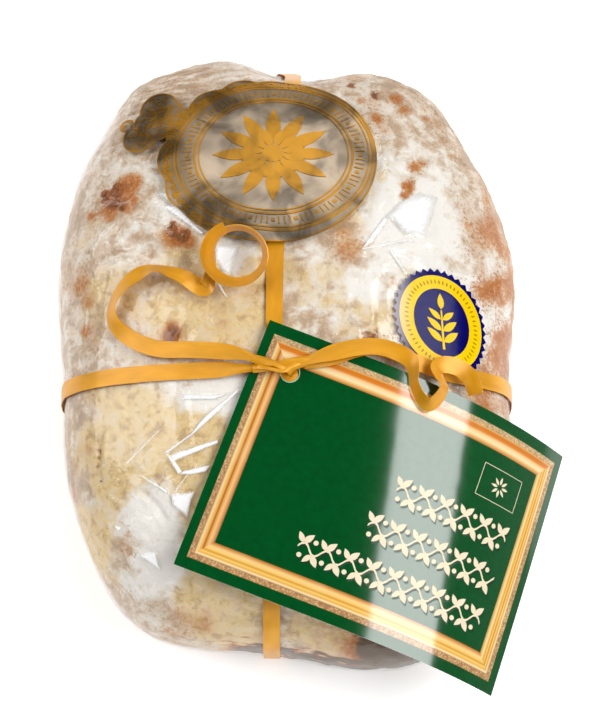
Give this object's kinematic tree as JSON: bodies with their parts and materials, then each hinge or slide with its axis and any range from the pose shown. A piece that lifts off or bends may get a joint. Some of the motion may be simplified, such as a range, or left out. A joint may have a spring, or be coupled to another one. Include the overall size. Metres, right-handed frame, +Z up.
{
  "type": "gift-wrapped stollen",
  "caption": "Sugar-dusted fruit loaf in clear film, tied crosswise with flat ribbon, with a hanging card, an oval foil seal and a round sticker.",
  "frame": {"origin": "on the flat underside of the loaf, below the middle of its length and width", "axes": "+X across the loaf to the side where the card hangs over, +Y along the loaf to the end with the seal, +Z up"},
  "size_m": [0.2015, 0.2654, 0.0924],
  "materials": {
    "stollen": "baked crust under melted powdered sugar",
    "raisin": "baked raisins at the surface",
    "clear_film": "thin clear film with creases",
    "ribbon": "satin gold curling ribbon",
    "card": "coated card, printed green with a gold frame",
    "seal_foil": "pewter foil with gold print",
    "sticker": "glossy printed paper"
  },
  "bodies": {
    "root": {"wrapped_stollen": "stollen", "ribbon_lengthwise": "ribbon", "ribbon_crosswise": "ribbon", "ribbon_knot": "ribbon", "ribbon_tail_left": "ribbon", "ribbon_tail_right": "ribbon", "tag_card": "card", "seal_oval": "seal_foil", "sticker_round": "sticker"}
  },
  "joints": []
}
